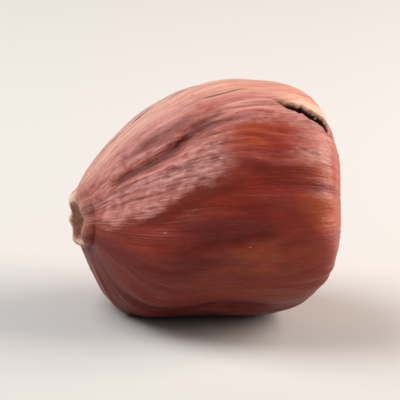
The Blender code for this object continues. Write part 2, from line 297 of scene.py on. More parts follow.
class HAZELNUT_PG_stage(bpy.types.PropertyGroup):
    azimuth: angle_property("Azimuth", "Side that the camera looks from", -21.0)
    elevation: angle_property("Elevation", "Height of the camera over the floor", 16.0)
    roll: angle_property("Roll", "Turn of the camera that tips the nut's base down", 5.0)
    distance: length_property("Distance", "From the camera to the nut", 0.45)
    frame_width: length_property("Frame width", "Width of the picture at the nut", 0.0235)
    floor_size: length_property("Floor size", "Radius of the floor", 3.0)
    floor: colour_property("Floor", "Plain pale floor", (0.585, 0.59, 0.59))
    key_power: power_property("Key light", "Power of the large light above and behind", 0.31)
    rim_power: power_property("Rim light", "Power of the light on the right", 0.46)
    fill_power: power_property("Fill light", "Power of the soft light at the front", 0.020)
    sky: bpy.props.FloatProperty(name="Sky", description="Strength of the pale sky", default=0.14)


# The kernel's form


def smooth_step(low, high, value):
    """0 below low, 1 above high, and a smooth rise between."""
    share = np.clip((value - low) / (high - low), 0.0, 1.0)
    return share * share * (3.0 - 2.0 * share)


def between(ends, fades, value):
    """1 between two ends and 0 outside them, with a smooth fade inside each end."""
    rise = smooth_step(ends[0], ends[0] + fades[0], value)
    return rise * (1.0 - smooth_step(ends[1] - fades[1], ends[1], value))


def bell(apart, width):
    """1 in the middle, falling smoothly to almost 0 at twice the width."""
    return np.exp(-((apart / width) ** 2))


def skin_noise(x, y, z):
    """Smooth seeded noise from -1 to 1 at each of many points."""
    x, y, z = np.broadcast_arrays(x, y, z)
    points = np.stack([x + SEED, y - SEED, z + 0.5 * SEED], axis=-1)
    values = [noise.noise(point) for point in points.reshape(-1, 3).tolist()]
    return np.array(values).reshape(x.shape)


def round_noise(angle, closeness, x_shift, z):
    """Noise that closes on itself round the girth."""
    return skin_noise(closeness * np.cos(angle) + x_shift, closeness * np.sin(angle), z)


def round_apart(angle, other):
    """Signed turn from other to angle, between minus and plus half a turn."""
    return (angle - other + math.pi) % (2.0 * math.pi) - math.pi


def arc_from(middle, angle, girth_radius):
    """Signed distance round the girth from one angle to each of the others."""
    return round_apart(angle, middle) * girth_radius


def base_line(turn):
    """The base, from its middle to the belly: along on top and under, radius on top and under."""
    across = np.sin(turn) ** (2.0 / BASE_FULLNESS_ACROSS)
    top = 1.0 - np.cos(turn) ** (2.0 / BASE_FULLNESS_ALONG)
    under = 1.0 - (1.0 - across**UNDER_BASE_FULLNESS) ** (1.0 / BASE_FULLNESS_ALONG)
    return np.stack([BELLY_FROM_BASE * top, BELLY_FROM_BASE * under, across, across])


def flank_line(steps):
    """The flank: the same lines from the belly to the neck."""
    neck = NECK_RADIUS / BELLY_RADIUS
    along = BELLY_FROM_BASE + steps * (LENGTH - BUTTON_LENGTH - BELLY_FROM_BASE)
    top = neck + (1.0 - neck) * (1.0 - steps**FLANK_FULLNESS)
    under = neck + (1.0 - neck) * (1.0 - steps**UNDER_FLANK_FULLNESS)
    return np.stack([along, along, top, under])


def button_line(steps):
    """The button: the same lines from the neck to the middle of the tip."""
    swell = smooth_step(*BUTTON_SWELL, steps)
    along = LENGTH - BUTTON_LENGTH + BUTTON_LENGTH * steps
    across = (NECK_RADIUS + (BUTTON_RADIUS - NECK_RADIUS) * swell) / BELLY_RADIUS
    across *= (1.0 - steps**BUTTON_ROUNDNESS) ** (1.0 / BUTTON_ROUNDNESS)
    return np.stack([along, along, across, across])


def outline():
    """Distances along the axis and shares of the belly's radius, from the base's middle to the tip's."""
    steps = np.linspace(0.0, 1.0, OUTLINE_SAMPLES)
    base = base_line(steps * math.pi / 2.0)
    return np.hstack([base, flank_line(steps)[:, 1:], button_line(steps)[:, 1:]])


def even_rings(lines, count):
    """count points along the outline, both ends included, at steps that shorten towards the tip."""
    along, _, across, _ = lines
    steps = np.hypot(np.diff(along), np.diff(across * BELLY_RADIUS))
    steps *= 1.0 + TIP_CLOSENESS * smooth_step(*TIP_CLOSE, along[1:] / LENGTH)
    travelled = np.concatenate([[0.0], np.cumsum(steps)])
    wanted = np.linspace(0.0, travelled[-1], count)
    return [np.interp(wanted, travelled, line) for line in lines]


def top_or_under(top, under, angle):
    """The underside is fuller than the top towards both ends."""
    apart = np.abs(round_apart(angle, UNDER_MIDDLE))
    return under + (top - under) * smooth_step(*UNDER_FADE, apart)


def fold_place(index, share):
    """Angle of a fold's line at a share of the length, and how much of the fold is there."""
    tip_deg, belly_deg, base_end, tip_end = FOLDS[index][:4]
    towards_tip = smooth_step(FOLD_TURN_FROM, 1.0, share)
    middle = math.radians(belly_deg + (tip_deg - belly_deg) * towards_tip)
    middle += FOLD_WANDER * float(skin_noise(FOLD_STEP * index, FOLD_WAVES * share, 0.0))
    inside = between((base_end, tip_end), FOLD_FADES, share)
    uneven = FOLDS[index][-1] * float(skin_noise(FOLD_STEP * index, 0.0, FOLD_BREAKS * share))
    return middle, inside * (1.0 + uneven)


def fold_height(share, angle, girth_radius):
    """Height of the long crests and furrows at a share of the length and at each angle."""
    height = np.zeros_like(angle)
    for index, (*_, top, before, after, _) in enumerate(FOLDS):
        middle, inside = fold_place(index, share)
        apart = arc_from(middle, angle, girth_radius)
        half_width = np.where(apart < 0.0, before, after) / 2.0
        height += top * inside * bell(apart, half_width)
    return height * np.minimum(1.0, girth_radius / FULL_RIB_RADIUS)


def fold_marks(share, angle, girth_radius):
    """How far each point lies past the first fold, in millimetres, and how much painted shade lies along
    a furrow's core.
    """
    keel = arc_from(fold_place(0, share)[0], angle, girth_radius) * MILLIMETRES
    furrow_shade = np.zeros_like(angle)
    for index, darkness in enumerate(FOLD_SHADE):
        middle, inside = fold_place(index, share)
        shade_core = inside * bell(arc_from(middle, angle, girth_radius), FURROW_SHADE_WIDTH)
        furrow_shade = np.maximum(furrow_shade, shade_core * darkness)
    return np.clip(keel, -KEEL_REACH, KEEL_REACH), furrow_shade


def rib_height(share, angle, girth_radius):
    """Rounded ribs between narrow creases, from base to tip. They wander, and fade in places."""
    wander = WANDER_TURN * round_noise(angle, WANDER_ROUND, 0.0, WANDER_ALONG * share)
    crease = round_noise(angle + wander, RIBS_ROUND, 0.0, RIBS_ALONG * share)
    swell = RIB_STEEPNESS * np.hypot(crease, RIB_SOFTNESS) - RIB_CREASE_LEVEL
    patch = round_noise(angle, PATCH_ROUND, PATCH_SHIFT, PATCH_ALONG * share)
    patch += PATCH_TOP_GAIN * np.cos(angle - PATCH_TOP_ANGLE)
    strength = PATCH_FLOOR + (1.0 - PATCH_FLOOR) * smooth_step(*PATCH_RISE, patch)
    return RIB_HEIGHT * strength * swell * np.minimum(1.0, girth_radius / FULL_RIB_RADIUS)


def crack_line(share):
    """Angle of the crack at a share of the length, with the zigzags that the solid has."""
    along = (CRACK_FROM - share) / (CRACK_FROM - CRACK_TO)
    along = min(max(along, 0.0), 1.0)
    straight = CRACK_ANGLE_AT_BELLY + (CRACK_ANGLE_AT_BASE - CRACK_ANGLE_AT_BELLY) * along
    return straight + CRACK_ZIGZAG * float(skin_noise(CRACK_ZIGZAGS * along, 0.0, CRACK_PLACE))


def crack_angle(share):
    """Angle of the crack, with the finest zigzags of its torn edge as well."""
    fine = float(skin_noise(FINE_ZIGZAGS * share, FINE_ZIGZAG_PLACE, 0.0))
    return crack_line(share) + FINE_ZIGZAG * fine


def side_angles(share, sides):
    """Angles of the sides. They are closest together at the crack and run along it."""
    turn = np.arange(sides) * 2.0 * math.pi / sides
    bend = (crack_angle(share) - CRACK_ANGLE_AT_BASE) * (0.5 + 0.5 * np.cos(turn))
    return CRACK_ANGLE_AT_BASE + turn - CRACK_CLOSENESS * np.sin(turn) + bend


def crack_opening(share):
    """How far the crack is open, from 0 at its ends to 1."""
    return between(CRACK_ENDS, CRACK_FADES, share)


def lip_and_gap(share, angle, girth_radius):
    """How much of the lip, and of the gap beside it, is at each angle."""
    apart = arc_from(crack_angle(share), angle, girth_radius)
    wall = smooth_step(0.0, CRACK_WALL, apart)
    lip = (1.0 - smooth_step(0.0, LIP_WIDTH, -apart)) * (1.0 - wall)
    gap = (1.0 - smooth_step(CRACK_WALL, CRACK_WIDTH, apart)) * wall
    opening = crack_opening(share)
    return opening * lip, opening * gap


def tear(share, angle, girth_radius):
    """How much of the thin tear's painted shade is at each angle."""
    start, end = TEAR_ENDS
    along = (share - start) / (end - start)
    wave = math.sin(TEAR_WAVES * along + TEAR_RIPPLE * math.sin(TEAR_RIPPLES * along))
    middle = TEAR_ANGLE * (1.0 - along) + TEAR_WANDER * wave
    inside = between(TEAR_ENDS, TEAR_FADES, share)
    return TEAR_SHADE * inside * bell(arc_from(middle, angle, girth_radius), TEAR_WIDTH)


def calm_by_crack(share, angle, girth_radius):
    """Share of the fine relief that is left beside the crack."""
    apart = arc_from(crack_angle(share), angle, girth_radius)
    return 1.0 - CALM_BY_CRACK * crack_opening(share) * bell(apart, LIP_WIDTH)


def from_scar(angle, girth_radius):
    """Distance and angle from the middle of the scar."""
    side = girth_radius * np.sin(angle) - SCAR_SHIFT
    up = girth_radius * np.cos(angle)
    return np.hypot(side, up), np.arctan2(side, up)


def scar_shares(along, angle, girth_radius):
    """How far each point is inside the scar, and how near to its rim."""
    if along > BELLY_FROM_BASE:
        return np.zeros_like(angle), np.zeros_like(angle)
    out, turn = from_scar(angle, girth_radius)
    rags = round_noise(turn, SCAR_RAGS_ROUND, 0.0, SCAR_EDGE_PLACE)
    edge = SCAR_RADIUS * (1.0 + SCAR_RAGGEDNESS * rags)
    inside = 1.0 - smooth_step(SCAR_FLOOR * edge, edge, out)
    return inside, bell(out - edge, SCAR_RIM_WIDTH / 2.0)


def scar_lumps(angle, girth_radius):
    """Heights of the lumps on the scar's face."""
    out, turn = from_scar(angle, girth_radius)
    return SCAR_LUMPS * round_noise(turn, LUMPS_PER_METRE * out, 0.0, LUMPS_PLACE)


def tip_rag_height(share, angle, girth_radius):
    """The button's rim is uneven."""
    near_tip = smooth_step(*TIP_RAGS_REACH, share) * np.minimum(1.0, girth_radius / NECK_RADIUS)
    return TIP_RAGS * near_tip * round_noise(angle, TIP_RAGS_ROUND, 0.0, TIP_PLACE)


def lobe_height(share, angle):
    """Broad flats that die away at both ends."""
    swell = math.sin(math.pi * min(max(share, 0.0), 1.0)) ** LOBE_FADE
    return swell * sum(h * np.cos(n * angle + math.radians(p)) for n, h, p in LOBES)


def calm(share, angle, girth_radius):
    """Share of the ribs and furrows left here: none at the tip, in the scar and where it rests."""
    left = 1.0 - smooth_step(*CALM_TIP, share)
    if share < CALM_BASE_HALF:
        left = left * smooth_step(*CALM_SCAR, from_scar(angle, girth_radius)[0] / SCAR_RADIUS)
    under = smooth_step(*CALM_UNDER, np.abs(round_apart(angle, math.pi)))
    under = np.maximum(under, 1.0 - smooth_step(*CALM_UNDER_NEAR_BASE, share))
    under = np.maximum(under, smooth_step(*CALM_UNDER_NEAR_TIP, share))
    return left * under * calm_by_crack(share, angle, girth_radius)


def skin_row(along, angle, girth_radius):
    """Heights and masks of one row round the kernel."""
    share = along / LENGTH
    ribs = rib_height(share, angle, girth_radius) + fold_height(share, angle, girth_radius)
    ribs = ribs * calm(share, angle, girth_radius)
    lip, gap = lip_and_gap(share, angle, girth_radius)
    inside, rim = scar_shares(along, angle, girth_radius)
    height = lobe_height(share, angle) + ribs + LIP_HEIGHT * lip - CRACK_DEPTH * gap
    height = height + SCAR_RIM_HEIGHT * rim + tip_rag_height(share, angle, girth_radius)
    if inside.any():
        height = height + inside * (scar_lumps(angle, girth_radius) - SCAR_DEPTH)
    keel, furrow_shade = fold_marks(share, angle, girth_radius)
    # Painted shade in the crack's gap and along the tear, stored as the crack mask
    dark_and_shade = np.maximum(gap, tear(share, angle, girth_radius))
    return height, (ribs / RIB_HEIGHT, lip, dark_and_shade, inside, rim, keel, furrow_shade)


def kernel_rows(rows, sides):
    """Points of the kernel, row by row from base to tip, before it is laid down, and their masks."""
    along, under_along, across, under = even_rings(outline(), rows)
    run = np.gradient(along)
    rise = np.gradient(across * BELLY_RADIUS)
    size = np.hypot(run, rise)
    points = np.zeros((rows, sides, 3))
    girths = np.zeros((rows, sides, 3))
    masks = {name: np.zeros((rows, sides)) for name in MASKS}
    for row in range(rows):
        outward = run[row] / size[row]
        forward = -rise[row] / size[row]
        towards_tip = max(0.0, (along[row] - BELLY_FROM_BASE) / (LENGTH - BELLY_FROM_BASE))
        angle = side_angles(along[row] / LENGTH, sides)
        radius = top_or_under(across[row], under[row], angle)
        start = top_or_under(along[row], under_along[row], angle)
        height, row_masks = skin_row(along[row], angle, radius * BELLY_RADIUS)
        y = -(radius * WIDTH / 2.0 + height * outward) * np.sin(angle)
        z = (radius * HEIGHT / 2.0 + height * outward) * np.cos(angle)
        x = BELLY_FROM_BASE - start - height * forward
        x = x + BASE_SLANT * z * (1.0 - towards_tip) - TIP_SLANT * z * towards_tip**3
        points[row] = np.stack([x, y, z - TIP_DROOP * towards_tip**2], axis=-1)
        share = np.full(sides, along[row] / LENGTH)
        girths[row] = np.stack([np.cos(angle), np.sin(angle), share], axis=-1)
        for name, values in zip(MASKS, row_masks):
            masks[name][row] = values
    return points, girths, masks


def with_poles(grid):
    """The rows between the first and the last, with one point for each of those two."""
    flat = grid.reshape(grid.shape[0], grid.shape[1], -1)
    inner = flat[1:-1].reshape(-1, flat.shape[2])
    return np.vstack([inner, flat[0].mean(axis=0), flat[-1].mean(axis=0)])


def kernel_faces(rows, sides):
    """Four-sided faces between the rows, and three-sided ones round the two poles."""
    faces = []
    inner = rows - 2
    base_pole = inner * sides
    for row in range(inner - 1):
        for side in range(sides):
            after = (side + 1) % sides
            near = row * sides
            far = near + sides
            faces.append((near + side, near + after, far + after, far + side))
    last = (inner - 1) * sides
    for side in range(sides):
        after = (side + 1) % sides
        faces.append((base_pole, after, side))
        faces.append((base_pole + 1, last + side, last + after))
    return faces


def sink_tip_pit(points):
    """Presses the small pit into the middle of the tip's button."""
    end = points[-1].copy()
    apart = np.hypot(points[:, 1] - end[1], points[:, 2] - end[2])
    near_end = 1.0 - smooth_step(*PIT_REACH, (points[:, 0] - end[0]) / BUTTON_LENGTH)
    sunk = near_end * (1.0 - smooth_step(PIT_FLOOR, 1.0, apart / PIT_RADIUS))
    points[:, 0] += PIT_DEPTH * sunk
    return sunk


def fit_to_solid(points, floor):
    """Flattens what is below the floor and brings the kernel exactly into the solid's box."""
    points[:, 2] = np.maximum(points[:, 2], floor)
    low = points.min(axis=0)
    high = points.max(axis=0)
    return CAD_LOW + (points - low) * (CAD_HIGH - CAD_LOW) / (high - low)


def lay_down(points):
    """Tilts the kernel as it rests and flattens the lowest spot."""
    x = points[:, 0] * math.cos(REST_TILT) - points[:, 2] * math.sin(REST_TILT)
    z = points[:, 0] * math.sin(REST_TILT) + points[:, 2] * math.cos(REST_TILT)
    return fit_to_solid(np.stack([x, points[:, 1], z], axis=-1), z.min() + REST_FLAT_DEPTH)


# Node trees

# Patches of the skin: angle and half width in degrees, nearest the base, nearest the tip
AMBER_PATCHES = (
    (110.0, 22.0, 0.12, 0.60),
    (35.0, 14.0, 0.32, 0.58),
    (196.0, 42.0, 0.20, 0.80),
    (300.0, 30.0, 0.10, 0.60),
    (62.0, 34.0, -0.10, 0.30),
)
SCURF_PATCHES = (
    (338.0, 42.0, 0.35, 0.98),
    (298.0, 27.0, 0.55, 0.98),
    (268.0, 20.0, 0.38, 1.00),
    (244.0, 22.0, 0.62, 1.00),
    (218.0, 24.0, 0.46, 1.00),
    (38.0, 20.0, 0.02, 0.36),
)
# Painted shade: a darker band along the whole underside
UNDERSIDE_SHADE_PATCHES = ((150.0, 66.0, -0.10, 1.10),)
WRINKLE_PATCHES = ((26.0, 66.0, 0.46, 1.05), (240.0, 60.0, 0.45, 1.00))
# Pale dry skin on top, partly painted light where the light grazes the upper outline
PALE_AND_LIT_PATCHES = (
    (0.0, 34.0, 0.02, 0.62),
    (-20.0, 26.0, -0.05, 0.40),
    (-18.0, 34.0, 0.44, 1.00),
)
# A creamy ridge, partly a painted highlight along the upper outline
LIT_RIDGE_PATCHES = ((-17.0, 19.0, 0.40, 1.02),)
BARE_PATCHES = ((-8.0, 17.0, 0.08, 0.60),)
PATCH_FADE = 0.14
PATCH_RAGS_ROUND = 1.6
PATCH_RAGS_ALONG = 0.30
PATCH_CORE = 0.25

# Noises round and along the kernel: scale, detail, roughness, place in the noise
FIBRE_BENDS = ((3.0, 3.0, 5.0), 2.0, 0.5)
FIBRES = ((24.0, 24.0, 7.0), 3.0, 0.6)
BROAD_STAINS = ((2.6, 2.6, 2.4), 3.0, 0.55, 3.0)
STREAKS = ((9.0, 9.0, 1.9), 4.0, 0.6, 5.0)
FINE_STREAKS = ((30.0, 30.0, 4.5), 3.0, 0.6, 8.0)
SPECKS = ((40.0, 40.0, 34.0), 2.0, 0.6, 13.0)
BLOTCHES = ((17.0, 17.0, 13.0), 3.0, 0.6, 17.0)
LIT_BLOOM_RAGS = ((11.0, 11.0, 16.0), 3.0, 0.65, 21.0)
PATCH_RAGS = ((7.0, 7.0, 8.0), 4.0, 0.65, 29.0)
TIP_WEAR = ((2.2, 2.2, 20.0), 3.0, 0.6, 31.0)

# Noises in space: scale per metre, detail, roughness, place in the noise
WRINKLES = ((1500.0, 2500.0, 2500.0), 2.0, 0.55)
GRAIN = (7000.0, 2.0, 0.6)
TORN_RIM = (1500.0, 4.0, 0.65, 37.0)
SPONGY_SCAR = (2600.0, 4.0, 0.7, 41.0)
PORES = (14000.0, 2.0, 0.6, 2.0)
SCRAP_BLOTCHES = (900.0, 3.0, 0.6, 4.0)
SCRAP_GRAIN = (9000.0, 2.0, 0.6, 1.0)
FLOOR_SHADES = (12.0, 2.0)

# Fine relief: how far the fibres wander, and its rises near the tip and over the floor
FIBRE_WANDER = 0.12
RELIEF_AT_TIP = (0.84, 0.95, 1.0, 0.2)
RELIEF_OVER_FLOOR = (0.0002, 0.0012)

# Scraps: the piece, then the tree's inputs. The density is a number per square metre
SCRAP_INPUTS = (
    "Mask", "Threshold", "Density", "Length", "Width", "Thickness", "Curl", "Spin", "Lift", "Seed"
)
SCRAPS = (
    ("scar_shreds", "scar_rim", 0.50, 2.4e6, 0.00050, 0.00018, 0.00003, 0.5, 0.9, 0.15, 3),
    ("scar_fibres", "scar", 0.50, 1.6e7, 0.00055, 0.00006, 0.00004, 0.8, 3.1, 0.10, 5),
    ("lip_shreds", "lip_edge", 0.50, 6.0e6, 0.00036, 0.00016, 0.00003, 0.8, 0.5, 0.10, 7),
    ("tip_fibres", "pit", 0.30, 9.0e6, 0.00045, 0.00005, 0.00004, 0.6, 3.1, 0.10, 9),
    ("skin_flakes", "flank", 0.60, 7.0e4, 0.00036, 0.00008, 0.00002, 0.1, 0.2, 0.04, 11),
)
SCRAP_MESH = {"Segments": 8, "Rings": 6, "Radius": 0.5}
SCRAP_LENGTHS = (0.5, 1.2)
SCRAP_WIDTHS = (0.5, 1.3)
DRAW_STEP = 10.0


def add_node(tree, kind, inputs=None, **settings):
    """Adds a node. An input is given a value, or a socket to be linked to."""
    made = tree.nodes.new(kind)
    for name, value in settings.items():
        setattr(made, name, value)
    for key, value in (inputs or {}).items():
        if isinstance(value, bpy.types.NodeSocket):
            tree.links.new(value, made.inputs[key])
        else:
            made.inputs[key].default_value = value
    return made


def maths(tree, operation, first, second, third=0.0):
    """What an operation makes of two or three numbers or sockets."""
    values = {0: first, 1: second, 2: third}
    return add_node(tree, "ShaderNodeMath", values, operation=operation).outputs[0]


def times(tree, first, second):
    """The two multiplied."""
    return maths(tree, "MULTIPLY", first, second)


def times_plus(tree, value, factor, more):
    """value times factor, plus more."""
    return maths(tree, "MULTIPLY_ADD", value, factor, more)


def most(tree, first, second):
    """The larger of the two at each point."""
    return maths(tree, "MAXIMUM", first, second)


def centred(tree, value):
    """A noise from 0 to 1, moved to lie evenly round 0."""
    return maths(tree, "SUBTRACT", value, 0.5)


def shifted(tree, value, by, amount):
    """value, moved up and down by a noise to make a border ragged."""
    return times_plus(tree, centred(tree, by), amount, value)


def vector_maths(tree, operation, first, second, output=0):
    """What an operation makes of two vectors. Where that is a number, the output is named."""
    values = {0: first, 1: second}
    return add_node(tree, "ShaderNodeVectorMath", values, operation=operation).outputs[output]


def facing(tree, girth, degrees):
    """How far each point turns to an angle round the kernel: 1 on it, -1 across from it."""
    side = (math.cos(math.radians(degrees)), math.sin(math.radians(degrees)), 0.0)
    return vector_maths(tree, "DOT_PRODUCT", girth, side, output="Value")


def ramp(tree, value, low, high, start=0.0, end=1.0):
    """A smooth rise from start to end as value goes from low to high."""
    values = {"Value": value, "From Min": low, "From Max": high, "To Min": start, "To Max": end}
    return add_node(tree, "ShaderNodeMapRange", values, interpolation_type="SMOOTHSTEP").outputs[0]


def held_back(tree, value, by, *rise):
    """value, taken down where by is low."""
    return times(tree, value, ramp(tree, by, *rise))


def noise_value(tree, where, scale, detail=2.0, roughness=0.5, shift=0.0):
    """Noise from 0 to 1. scale is one number, or three for a stretched pattern."""
    if not isinstance(scale, (int, float)):
        where = vector_maths(tree, "MULTIPLY", where, scale)
        scale = 1.0
    values = {"Vector": where, "W": shift, "Scale": scale, "Detail": detail, "Roughness": roughness}
    return add_node(tree, "ShaderNodeTexNoise", values, noise_dimensions="4D").outputs[0]


def patch(tree, girth, share, ragged, middle, spread, low, high):
    """1 inside a patch round an angle, between two shares of the length, fading at a ragged border."""
    edge = math.cos(math.radians(spread))
    size = 1.0 - edge
    near = shifted(tree, facing(tree, girth, middle), ragged, PATCH_RAGS_ROUND * size)
    inside = ramp(tree, near, edge, 1.0 - PATCH_CORE * size)
    inside = held_back(tree, inside, share, low, low + PATCH_FADE)
    return held_back(tree, inside, share, high - PATCH_FADE, high, 1.0, 0.0)


def patches(tree, girth, share, places):
    """The most of any patch in a list. Their borders follow the same noise."""
    ragged = noise_value(tree, girth, *PATCH_RAGS)
    torn_share = shifted(tree, share, ragged, PATCH_RAGS_ALONG)
    total, *others = (patch(tree, girth, torn_share, ragged, *place) for place in places)
    for other in others:
        total = most(tree, total, other)
    return total


def new_tree(name, inputs):
    """An empty geometry node tree with named inputs. Returns it with its input and output nodes."""
    tree = bpy.data.node_groups.new(name, "GeometryNodeTree")
    tree.interface.new_socket("Geometry", in_out="INPUT", socket_type="NodeSocketGeometry")
    tree.interface.new_socket("Geometry", in_out="OUTPUT", socket_type="NodeSocketGeometry")
    for label, kind in inputs:
        tree.interface.new_socket(label, in_out="INPUT", socket_type="NodeSocket" + kind)
    return tree, tree.nodes.new("NodeGroupInput"), tree.nodes.new("NodeGroupOutput")


def finish_tree(tree, geometry, material, end):
    """Realizes instances, sets the material and links the result to the tree's output."""
    real = add_node(tree, "GeometryNodeRealizeInstances", {"Geometry": geometry}).outputs[0]
    painted = add_node(tree, "GeometryNodeSetMaterial", {"Geometry": real, "Material": material})
    tree.links.new(painted.outputs[0], end.inputs["Geometry"])


def named_value(tree, name, kind="FLOAT"):
    """A value kept for each point, read in a geometry tree."""
    reader = add_node(tree, "GeometryNodeInputNamedAttribute", {"Name": name}, data_type=kind)
    return reader.outputs["Attribute"]


def wandering(tree, girth, seed):
    """The place round the girth, bent a little so that the fibres don't run straight."""
    turn = times(tree, centred(tree, noise_value(tree, girth, *FIBRE_BENDS, seed)), FIBRE_WANDER)
    aside = add_node(tree, "ShaderNodeCombineXYZ", {0: turn, 1: turn}).outputs[0]
    return vector_maths(tree, "ADD", girth, aside)


def relief_tree():
    """Fine relief of the dried skin: fibres from base to tip, small wrinkles on the top, grain."""
    sizes = [(name, "Float") for name in ("Fibres", "Wrinkles", "Grain", "Seed")]
    tree, start, end = new_tree("skin_relief", (*sizes, ("Skin", "Material")))
    given = start.outputs
    girth = named_value(tree, "girth", "FLOAT_VECTOR")
    share = add_node(tree, "ShaderNodeSeparateXYZ", {0: girth}).outputs["Z"]
    place = add_node(tree, "GeometryNodeInputPosition").outputs[0]
    above_floor = add_node(tree, "ShaderNodeSeparateXYZ", {0: place}).outputs["Z"]
    bent = wandering(tree, girth, given["Seed"])
    fibres = centred(tree, noise_value(tree, bent, *FIBRES, given["Seed"]))
    bumps = centred(tree, noise_value(tree, place, *WRINKLES, given["Seed"]))
    grain = centred(tree, noise_value(tree, place, *GRAIN, given["Seed"]))
    wrinkled = times(tree, bumps, patches(tree, girth, share, WRINKLE_PATCHES))
    height = times_plus(tree, wrinkled, given["Wrinkles"], times(tree, fibres, given["Fibres"]))
    height = held_back(tree, height, share, *RELIEF_AT_TIP)
    height = held_back(tree, height, above_floor, *RELIEF_OVER_FLOOR)
    height = times_plus(tree, grain, given["Grain"], height)
    normal = add_node(tree, "GeometryNodeInputNormal").outputs[0]
    scaled = add_node(tree, "ShaderNodeVectorMath", {0: normal, "Scale": height}, operation="SCALE")
    marked = add_node(
        tree,
        "GeometryNodeStoreNamedAttribute",
        {"Geometry": given["Geometry"], "Name": "wrinkle", "Value": wrinkled},
        data_type="FLOAT",
        domain="POINT",
    )
    moved = add_node(
        tree,
        "GeometryNodeSetPosition",
        {"Geometry": marked.outputs[0], "Offset": scaled.outputs[0]},
    )
    finish_tree(tree, moved.outputs[0], given["Skin"], end)
    return tree


def scrap_turn(tree, given, normal):
    """Lays each scrap along the kernel, with its own small spin and lift."""
    upright = add_node(
        tree, "FunctionNodeAlignRotationToVector", {"Vector": normal}, axis="Z"
    ).outputs[0]
    along = add_node(
        tree,
        "FunctionNodeAlignRotationToVector",
        {"Rotation": upright, "Vector": (-1.0, 0.0, 0.0)},
        axis="X",
        pivot_axis="Z",
    ).outputs[0]
    spin = random_value(tree, times(tree, given["Spin"], -1.0), given["Spin"], given["Seed"], 1)
    lift = random_value(tree, 0.0, times(tree, given["Lift"], -1.0), given["Seed"], 2)
    angles = add_node(tree, "ShaderNodeCombineXYZ", {1: lift, 2: spin}).outputs[0]
    turn = add_node(tree, "FunctionNodeEulerToRotation", {0: angles}).outputs[0]
    return add_node(
        tree,
        "FunctionNodeRotateRotation",
        {"Rotation": along, "Rotate By": turn},
        rotation_space="LOCAL",
    ).outputs[0]


def scrap_shape(tree, given):
    """One scrap: a flat lens of unit length, bent up at both ends."""
    lens = add_node(tree, "GeometryNodeMeshUVSphere", SCRAP_MESH).outputs[0]
    place = add_node(tree, "GeometryNodeInputPosition").outputs[0]
    run = add_node(tree, "ShaderNodeSeparateXYZ", {0: place}).outputs["X"]
    rise = times(tree, times(tree, run, run), given["Curl"])
    lifted = add_node(tree, "ShaderNodeCombineXYZ", {2: rise}).outputs[0]
    bent = add_node(tree, "GeometryNodeSetPosition", {"Geometry": lens, "Offset": lifted}).outputs[0]
    return add_node(tree, "GeometryNodeSetShadeSmooth", {"Geometry": bent}).outputs[0]


def scrap_size(tree, given):
    """Length and width of each scrap vary. The thickness doesn't."""
    longer = random_value(tree, *SCRAP_LENGTHS, given["Seed"], 3)
    wider = random_value(tree, *SCRAP_WIDTHS, given["Seed"], 4)
    values = {
        0: times(tree, longer, given["Length"]),
        1: times(tree, wider, given["Width"]),
        2: given["Thickness"],
    }
    return add_node(tree, "ShaderNodeCombineXYZ", values).outputs[0]


def scraps_tree():
    """Small flat scraps or fibres, scattered where a mask of the kernel is high."""
    kinds = {"Mask": "String", "Seed": "Int", "Skin": "Material"}
    sizes = [(name, kinds.get(name, "Float")) for name in (*SCRAP_INPUTS, "Skin")]
    tree, start, end = new_tree("skin_scraps", sizes)
    given = start.outputs
    here = add_node(
        tree,
        "FunctionNodeCompare",
        {"A": named_value(tree, given["Mask"]), "B": given["Threshold"]},
        data_type="FLOAT",
        operation="GREATER_THAN",
    ).outputs[0]
    scattered = add_node(
        tree,
        "GeometryNodeDistributePointsOnFaces",
        {
            "Mesh": given["Geometry"],
            "Selection": here,
            "Density": given["Density"],
            "Seed": given["Seed"],
        },
    )
    placed = add_node(
        tree,
        "GeometryNodeInstanceOnPoints",
        {
            "Points": scattered.outputs["Points"],
            "Instance": scrap_shape(tree, given),
            "Rotation": scrap_turn(tree, given, scattered.outputs["Normal"]),
            "Scale": scrap_size(tree, given),
        },
    ).outputs[0]
    finish_tree(tree, placed, given["Skin"], end)
    return tree


def random_value(tree, low, high, seed, number):
    """A random value for each scrap. number keeps the draws of one seed apart."""
    draw = maths(tree, "ADD", seed, DRAW_STEP * number)
    values = {"Min": low, "Max": high, "Seed": draw}
    return add_node(tree, "FunctionNodeRandomValue", values, data_type="FLOAT").outputs["Value"]


def apply_tree(obj, tree, values):
    """Runs the tree on obj with these inputs, and leaves the result on obj as a plain mesh."""
    modifier = obj.modifiers.new(tree.name, "NODES")
    modifier.node_group = tree
    for item in tree.interface.items_tree:
        if item.item_type == "SOCKET" and item.in_out == "INPUT" and item.name in values:
            modifier[item.identifier] = values[item.name]
    graph = bpy.context.evaluated_depsgraph_get()
    plain = bpy.data.meshes.new_from_object(obj.evaluated_get(graph))
    obj.modifiers.remove(modifier)
    old = obj.data
    obj.data = plain
    bpy.data.meshes.remove(old)
    obj.data.name = obj.name


# Finishes

# Places of the colour mixer's sockets, which share their names with those for numbers
MIX_SHARE = 0
MIX_FIRST = 6
MIX_SECOND = 7
MIX_RESULT = 2

# Shader values that every material shares
SPECULAR = 0.18
SHEEN_ROUGHNESS = 0.45
SHEEN_TINT = (1.0, 0.72, 0.64)

# A rise says where a layer of colour starts and ends along a pattern, and how much of it shows at each

# Streaks and stains of the brown skin, and the painted shade on its underside and in its creases
PLUM_RISE = (0.38, 0.70)
STREAK_RISE = (0.44, 0.76, 0.0, 0.5)
AMBER_OFF_STREAKS = (0.62, 0.38)
AMBER_FIBRES = (0.60, 0.82, 0.0, 0.4)
AMBER_STRENGTH = 0.6
UNDERSIDE_SHADE_STRENGTH = 0.6
# Painted shade in the creases between the ribs
CREASE_SHADE_RISE = (-0.2, -1.1, 0.0, 0.8)
